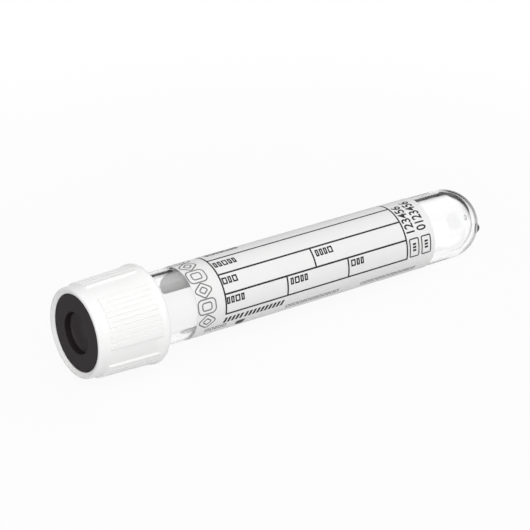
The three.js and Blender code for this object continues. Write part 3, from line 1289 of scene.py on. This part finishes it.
class FlatWork:
    """Flat shapes laid out along the tube (x) and round it (y), to be wrapped as one thin piece.

    Attributes:
        STEP: Degrees between the cuts that let the shapes bend.
        DIGIT_SHARE: Height of a digit, as a share of its letters' size.
        made: The shapes.
    """

    STEP = 2.0
    DIGIT_SHARE = 0.73

    def __init__(self) -> None:
        """Starts with nothing laid out."""
        self.made = bmesh.new()

    def fill(self, outline: Sequence[Point]) -> None:
        """Adds one filled shape, given its outline."""
        self.made.faces.new([self.made.verts.new((x, y, 0)) for x, y in outline])

    def bar(self, low: Point, high: Point, slant: float = 0.0) -> None:
        """Adds a filled bar, whose side with the lower y is shifted along x by its slant."""
        (x0, y0), (x1, y1) = low, high
        self.fill([(x0 + slant, y0), (x1 + slant, y0), (x1, y1), (x0, y1)])

    def line(self, path: Sequence[Point], width: float, closed: bool = False) -> None:
        """Adds a line of even width with mitred corners.

        Args:
            path: The points on its middle.
            width: Its width.
            closed: True if it runs back to its start.
        """
        points = [Vector(p) for p in path]
        count = len(points)
        left: list[BMVert] = []
        right: list[BMVert] = []
        for i, here in enumerate(points):
            before = points[i - 1] if closed or i else here - (points[1] - here)
            after = points[(i + 1) % count] if closed or i < count - 1 else here + (here - points[i - 1])
            first = (here - before).normalized()
            mitre = (first + (after - here).normalized()).normalized()
            side = Vector((-mitre.y, mitre.x)) * (width / 2 / max(0.35, mitre.dot(first)))
            left.append(self.made.verts.new((*(here + side), 0)))
            right.append(self.made.verts.new((*(here - side), 0)))
        for i in range(count if closed else count - 1):
            j = (i + 1) % count
            self.made.faces.new([right[i], right[j], left[j], left[i]])

    def write(self, body: str, at: Point, height: float, bold: float, narrow: float) -> None:
        """Adds plain digits that read round the tube, towards its top, with their heads to the cap.

        Args:
            body: The digits.
            at: Where the first digit's foot starts, as (x, y).
            height: Height of a digit along the tube.
            bold: How much each stroke is thickened.
            narrow: How wide the digits are set, 1 being the face's own width.
        """
        words = bpy.data.curves.new("digits", "FONT")
        words.body, words.size, words.offset = body, height / self.DIGIT_SHARE, bold
        carrier = bpy.data.objects.new("digits", words)
        bpy.context.scene.collection.objects.link(carrier)
        evaluated = carrier.evaluated_get(bpy.context.evaluated_depsgraph_get())
        mesh = bpy.data.meshes.new_from_object(evaluated)
        turn = Matrix(((0, -1, 0, at[0]), (-narrow, 0, 0, at[1]), (0, 0, 1, 0), (0, 0, 0, 1)))
        mesh.transform(turn)
        self.made.from_mesh(mesh)
        bpy.data.objects.remove(carrier)
        bpy.data.curves.remove(words)
        bpy.data.meshes.remove(mesh)

    def wrap(self, name: str, low: float, high: float, material: Material) -> Object:
        """Gives the shapes a thickness and wraps them round the tube.

        Args:
            name: The piece's name.
            low: How far its underside stands off the tube's wall.
            high: How far its outside does.
            material: Its finish.

        Returns:
            The wrapped object, in the axis's own millimetres.
        """
        made = self.made
        bmesh.ops.remove_doubles(made, verts=made.verts, dist=1e-4)
        rows = [v.co.y for v in made.verts]
        step = arc_length(self.STEP)
        for k in range(math.ceil(min(rows) / step), math.floor(max(rows) / step) + 1):
            everything = [*made.verts, *made.edges, *made.faces]
            bmesh.ops.bisect_plane(
                made, geom=everything, plane_co=(0, k * step, 0), plane_no=(0, 1, 0), dist=1e-5
            )
        for vertex in made.verts:
            vertex.co.z = low
        raised = bmesh.ops.extrude_face_region(made, geom=made.faces[:], use_keep_orig=True)
        for part in raised["geom"]:
            if isinstance(part, BMVert):
                part.co.z = high
        bmesh.ops.recalc_face_normals(made, faces=made.faces)
        piece = as_object(name, made)
        Shaper(name, wrap_rule, {"Lift": 0.0, "Skew": LABEL_SKEW}).apply(piece, material)
        return piece


@dataclass
class Label:
    """The paper label: a sheet with rounded corners that leaves a window open at the tube's back."""

    start: float = 20.19
    end: float = 70.34
    first_edge: float = -100.5
    span: float = 276.5
    corner: float = 1.6

    def build(self) -> Object:
        """Builds the sheet.

        Returns:
            The finished piece.
        """
        low = (self.start, arc_length(self.first_edge))
        high = (self.end, arc_length(self.first_edge + self.span))
        sheet = FlatWork()
        sheet.fill(rounded_box(low, high, self.corner, 10))
        top = LABEL_LIFT + LABEL_THICKNESS
        piece = sheet.wrap("label_paper_sheet", LABEL_LIFT, top, Paper().material())
        return settle(piece, Body.TUBE, ["label"])


class Mark(Enum):
    """The small plain boxes that stand in a row where a caption would be."""

    WIDE = "w"
    NARROW = "n"


@dataclass(frozen=True)
class Row:
    """A row of plain boxes along the tube.

    Attributes:
        marks: The boxes' kinds, in order.
        start: The station where it starts.
        foot: The bearing of its foot line.
    """

    marks: str
    start: float
    foot: float


@dataclass(frozen=True)
class Column:
    """A column of digits that reads round the tube, and the box before it.

    Attributes:
        digits: The digits.
        station: The station of their feet.
        foot: The bearing where they start.
        height: Their height.
        width: How wide a digit is set.
        box: The stations of the box's two sides.
    """

    digits: str
    station: float
    foot: float
    height: float
    width: float
    box: Point


@dataclass(frozen=True)
class Figure:
    """An outlined figure with a smaller one inside it.

    Attributes:
        corners: Its corners, in half widths and half heights from its middle.
        corner: The radius of the arcs at them.
        inner: Size of the inner figure, as a share of the outer one's.
    """

    corners: tuple[Point, ...]
    corner: float
    inner: float


@dataclass
class LabelPrint:
    """The label's print: a ruled table, rows of plain marks, digits in order and outlined figures.

    Places along the tube are stations, places round it are bearings, and the rest is in millimetres.
    A divider is a station and the number of the line that it starts from, and a run of slanted bars is
    the station where it starts and how many it has.
    """

    sink: float = 0.004
    film: float = 0.012
    rule: float = 0.3
    thin_rule: float = 0.22
    left: float = 25.9
    right: float = 64.2
    lines: tuple[float, ...] = (-29.5, 2.2, 34.3, 65.8, 97.4)
    dividers: tuple[tuple[float, int], ...] = ((44.8, 2), (38.6, 3), (51.45, 3))
    mark_height: float = 1.2
    mark_gap: float = 0.208
    wide: float = 0.98
    narrow: float = 0.66
    stroke: float = 0.26
    captions: tuple[Row, ...] = (
        Row("nwnnwnn", 27.1, -14.6),
        Row("nnwnn", 26.3, 20.9),
        Row("wnw", 26.15, 51.2),
        Row("nnnw", 45.45, 50.4),
        Row("nnwn", 26.1, 81.6),
        Row("nwnn", 39.2, 81.2),
        Row("wnn", 52.0, 81.2),
    )
    notes: tuple[Row, ...] = (
        Row("wwnww", 22.3, 126.5),
        Row("wnwwnwwnwwnww", 39.0, 127.5),
        Row("wwnwwnwwnwwnwn", 55.0, 128.0),
    )
    note_size: float = 0.8
    slants: tuple[tuple[float, int], ...] = ((25.6, 5), (29.9, 10))
    slant_foot: float = 115.0
    slant_size: Point = (0.5, 1.15)
    slant_pitch: float = 0.82
    slant_shift: float = 0.36
    columns: tuple[Column, ...] = (
        Column("123456", 66.4, 60.0, 1.85, 1.6, (64.85, 66.75)),
        Column("0123456", 68.9, 57.0, 2.0, 1.48, (67.45, 69.35)),
    )
    digit_bold: float = 0.045
    box_bearings: Point = (66.5, 96.0)
    box_corner: float = 0.22
    box_bars: int = 3
    box_foot: float = 87.0
    box_bar: float = 0.36
    box_pitch: float = 0.56
    blot: tuple[Spot, ...] = ((28.6, 121, 0.5), (30.6, 121, 0.3), (30.3, 135, 0.5), (28.9, 133, 0.3))
    figures: tuple[Figure, ...] = (
        Figure(((0, -1.08), (1.08, 0), (0, 1.08), (-1.08, 0)), 0.45, 0.45),
        Figure(((-1, -1), (1, -1), (1, 1), (-1, 1)), 0.8, 0.52),
    )
    figure_count: int = 6
    figure_middle: float = 22.15
    figure_half: float = 1.75
    figure_first: float = 101.0
    figure_pitch: float = 25.2
    figure_half_turn: float = 11.4

    def table(self, ink: FlatWork) -> None:
        """Rules the table's frame, its lines and its dividers.

        Args:
            ink: Where the lines go.
        """
        half = self.rule / 2
        for line in self.lines:
            y = arc_length(line)
            ink.bar((self.left - half, y - half), (self.right + half, y + half))
        uprights = [(side, self.lines[0], self.lines[-1]) for side in (self.left, self.right)]
        uprights += [(side, self.lines[i], self.lines[i + 1]) for side, i in self.dividers]
        for side, top, bottom in uprights:
            ink.bar((side - half, arc_length(top)), (side + half, arc_length(bottom)))

    def boxes(self, ink: FlatWork, row: Row, size: float = 1.0) -> None:
        """Sets a row of plain boxes, with their tops towards smaller bearings.

        Args:
            ink: Where the boxes go.
            row: The row.
            size: Scale of the boxes.
        """
        middle = self.stroke * size / 2
        foot = arc_length(row.foot)
        top, bottom = foot - self.mark_height * size + middle, foot - middle
        widths = {Mark.WIDE: self.wide * size, Mark.NARROW: self.narrow * size}
        x = row.start
        for mark in map(Mark, row.marks):
            corners = box_corners((x + middle, top), (x + widths[mark] - middle, bottom))
            ink.line(corners, self.stroke * size, closed=True)
            x += widths[mark] + self.mark_gap * size

    def slanted(self, ink: FlatWork) -> None:
        """Sets the bold row of slanted bars under the table.

        Args:
            ink: Where the bars go.
        """
        wide, tall = self.slant_size
        foot = arc_length(self.slant_foot)
        for start, count in self.slants:
            for k in range(count):
                x = start + self.slant_pitch * k
                ink.bar((x, foot - tall), (x + wide, foot), self.slant_shift)

    def column(self, ink: FlatWork, column: Column) -> None:
        """Sets a column of digits and the box before it, which holds a few short bars.

        Args:
            ink: Where the shapes go.
            column: The column.
        """
        at = (column.station, arc_length(column.foot))
        ink.write(column.digits, at, column.height, self.digit_bold, column.width / column.height)
        low, high = zip(column.box, map(arc_length, self.box_bearings))
        ink.line(rounded_box(low, high, self.box_corner, 4), self.thin_rule, closed=True)
        middle, bar = sum(column.box) / 2, self.box_bar
        for k in range(self.box_bars):
            foot = arc_length(self.box_foot) - k * self.box_pitch
            ink.bar((middle - bar, foot - bar), (middle + bar, foot))

    def figure_band(self, ink: FlatWork) -> None:
        """Draws the band of outlined figures by the cap's end: lozenges and rounded squares in turn.

        Args:
            ink: Where the outlines go.
        """
        x, half_y = self.figure_middle, arc_length(self.figure_half_turn)
        for k in range(self.figure_count):
            y = arc_length(self.figure_first - self.figure_pitch * k)
            figure = self.figures[k % len(self.figures)]
            for share in (1.0, figure.inner):
                half_x, round_size = self.figure_half * share, figure.corner * share
                points = [
                    (x + cx * half_x, y + cy * half_y * share, round_size) for cx, cy in figure.corners
                ]
                ink.line(rounded(points, closed=True, steps=6), self.thin_rule, closed=True)

    def build(self) -> list[Object]:
        """Builds the print, one piece to each ink.

        Returns:
            The finished pieces.
        """
        black, outline, grey = FlatWork(), FlatWork(), FlatWork()
        self.table(black)
        for row in self.captions:
            self.boxes(black, row)
        self.slanted(black)
        for column in self.columns:
            self.column(black, column)
        blot = [(x, arc_length(bearing), corner) for x, bearing, corner in self.blot]
        black.fill(rounded(blot, closed=True, steps=4))
        self.figure_band(outline)
        for row in self.notes:
            self.boxes(grey, row, self.note_size)
        low = LABEL_LIFT + LABEL_THICKNESS - self.sink
        high = low + self.sink + self.film
        inks = (
            ("label_black_print", black, Ink("black_ink", (0.016, 0.016, 0.017))),
            ("label_outline_figures", outline, Ink("dark_grey_ink", (0.2, 0.2, 0.2))),
            ("label_grey_notes", grey, Ink("grey_ink", (0.33, 0.33, 0.33))),
        )
        return [
            settle(work.wrap(name, low, high, ink.material()), Body.TUBE)
            for name, work, ink in inks
        ]


# ---- Stage ----


@dataclass
class Floor:
    """A round pale floor that fades into the white surroundings.

    Attributes:
        radius: Its radius, in metres.
        sides: How many sides it has.
        drop: How far it lies under the object, in metres.
        colour: Its grey.
        fade: Shares of the radius over which it fades to white.
        seen_white: How far the camera, mirrors and clear pieces see it as white.
    """

    radius: float = 0.14
    sides: int = 128
    drop: float = 0.00002
    colour: float = 0.72
    fade: Point = (0.35, 0.95)
    seen_white: Spot = (0.92, 0.5, 1.0)

    def material(self) -> Material:
        """Builds the floor's finish.

        Returns:
            The finished material.
        """
        finish = Finish("floor")
        nodes = finish.nodes
        path = nodes.add("ShaderNodeLightPath")
        camera = nodes.number(path, "Is Camera Ray")
        through = nodes.number(path, "Is Transmission Ray") * (1.0 - camera)
        glossy = nodes.number(path, "Is Glossy Ray") * (1.0 - camera) * (1.0 - through)
        position = nodes.add("ShaderNodeNewGeometry").outputs["Position"]
        far = nodes.length(position).eased(*(self.radius * share for share in self.fade))
        matt = nodes.add("ShaderNodeBsdfDiffuse", None, {0: (*(self.colour,) * 3, 1)})
        glow = nodes.add("ShaderNodeEmission", None, {0: (1, 1, 1, 1)})
        by_camera, by_mirror, by_clear = self.seen_white
        share = camera * by_camera + glossy * by_mirror + through * by_clear
        share = share + (camera + glossy + through) * far * (1.0 - share)
        return finish.close(nodes.mixed(share, matt, glow))

    def build(self) -> None:
        """Builds the floor."""
        made = bmesh.new()
        bmesh.ops.create_circle(made, cap_ends=True, radius=self.radius, segments=self.sides)
        bmesh.ops.translate(made, verts=made.verts, vec=(0, 0, -self.drop))
        floor = as_object("floor", made)
        floor.data.materials.append(self.material())


@dataclass
class Surroundings:
    """A white background round a studio that is dark low down and bright overhead.

    Attributes:
        fill: Even light that reaches matt surfaces from all round.
        horizon: Height, as a share of the sky's, up to which the pale floor seems to go on.
        dark: What mirrors and clear pieces see above it.
        bright: What they see overhead.
        overhead: Heights over which the dark part gives way to the bright one.
        away: The way that the dark side lies from the object; the near side is bright.
        away_span: Shares of that way over which the dark side sets in.
    """

    fill: float = 0.46
    horizon: float = 0.07
    dark: float = 0.03
    bright: float = 0.97
    overhead: Point = (0.42, 0.62)
    away: Point = (0.582, 0.813)
    away_span: Point = (0.05, 0.35)

    def build(self) -> None:
        """Builds the world."""
        world = bpy.data.worlds.new("studio")
        world.use_nodes = True
        world.node_tree.nodes.clear()
        bpy.context.scene.world = world
        nodes = Nodes(world.node_tree)
        way = nodes.place(nodes.add("ShaderNodeTexCoord").outputs["Generated"])
        away = way.x * self.away[0] + way.y * self.away[1]
        low = 1.0 - way.z.eased(0.0, self.horizon)
        near = 1.0 - away.eased(*self.away_span)
        light = (low + way.z.eased(*self.overhead)).top(near)
        room = self.dark + light * (self.bright - self.dark)
        path = nodes.add("ShaderNodeLightPath")
        camera = nodes.number(path, "Is Camera Ray")
        matt = nodes.number(path, "Is Diffuse Ray")
        level = room * (1.0 - camera - matt) + camera + matt * self.fill
        values = {"Color": (1, 1, 1, 1), "Strength": level}
        background = nodes.add("ShaderNodeBackground", None, values)
        nodes.add("ShaderNodeOutputWorld", None, {0: background.outputs[0]})


@dataclass(frozen=True)
class Softbox:
    """One square studio lamp.

    Attributes:
        name: The lamp's name.
        place: Where it hangs, in metres.
        size: Length of its sides.
        power: Its power in watts.
    """

    name: str
    place: Spot
    size: float
    power: float

    def build(self, target: Vector) -> None:
        """Hangs the lamp, facing a target.

        Args:
            target: The point that it lights.
        """
        light = bpy.data.lights.new(self.name, "AREA")
        light.shape, light.size, light.energy = "SQUARE", self.size, self.power
        lamp = bpy.data.objects.new(self.name, light)
        lamp.location = self.place
        lamp.rotation_mode = "QUATERNION"
        lamp.rotation_quaternion = (target - Vector(self.place)).to_track_quat("-Z", "Y")
        bpy.context.scene.collection.objects.link(lamp)


@dataclass
class Camera:
    """The camera, looking down at the lying tube from the cap's end.

    Attributes:
        azimuth: Degrees that it stands round from the front.
        elevation: Degrees that it looks down.
        lens: Its focal length, in millimetres.
        sensor: Its sensor's width, in millimetres.
        face_station: The station of the ring's face, which its place is measured from.
        offset: The way from there to the camera, in metres.
        clip: The nearest and farthest that it sees, in metres.
    """

    azimuth: float = -35.577
    elevation: float = 27.965
    lens: float = 185.24
    sensor: float = 36.0
    face_station: float = 0.48
    offset: Spot = (-0.200052, -0.332447, 0.217921)
    clip: Point = (0.01, 10.0)

    def build(self) -> None:
        """Sets up the camera from the ring's face."""
        data = bpy.data.cameras.new("camera")
        data.lens, data.sensor_width = self.lens, self.sensor
        data.clip_start, data.clip_end = self.clip
        camera = bpy.data.objects.new("camera", data)
        turn, rise = math.radians(self.azimuth), math.radians(self.elevation)
        level = math.cos(rise)
        back = Vector((math.sin(turn) * level, -math.cos(turn) * level, math.sin(rise)))
        camera.location = AXIS.point(self.face_station) + Vector(self.offset)
        camera.rotation_mode = "QUATERNION"
        camera.rotation_quaternion = (-back).to_track_quat("-Z", "Y")
        bpy.context.scene.collection.objects.link(camera)
        bpy.context.scene.camera = camera


@dataclass
class Studio:
    """Floor, surroundings, camera and the lamps, which face a station of the tube."""

    lit_station: float = 35.0
    lamps: tuple[Softbox, ...] = (
        Softbox("softbox_top", (0.15, 0.1, 0.6), 0.5, 0.5),
        Softbox("softbox_front", (-0.12, -0.43, 0.5), 0.7, 2.3),
        Softbox("softbox_near", (-0.36, -0.44, 0.28), 0.25, 0.65),
    )

    def build(self) -> None:
        """Builds everything that isn't the object."""
        Camera().build()
        Floor().build()
        Surroundings().build()
        for lamp in self.lamps:
            lamp.build(AXIS.point(self.lit_station))
        bpy.context.scene.view_settings.view_transform = "Standard"


def main() -> None:
    """Builds the studio and the tube's pieces in order."""
    logging.basicConfig(level=logging.INFO, format="%(name)s: %(message)s")
    Studio().build()
    for part in (Tube(), Cap(), RetainingRing(), Stopper(), Label(), LabelPrint()):
        LOG.info("building %s", type(part).__name__)
        part.build()


if __name__ == "__main__":
    main()
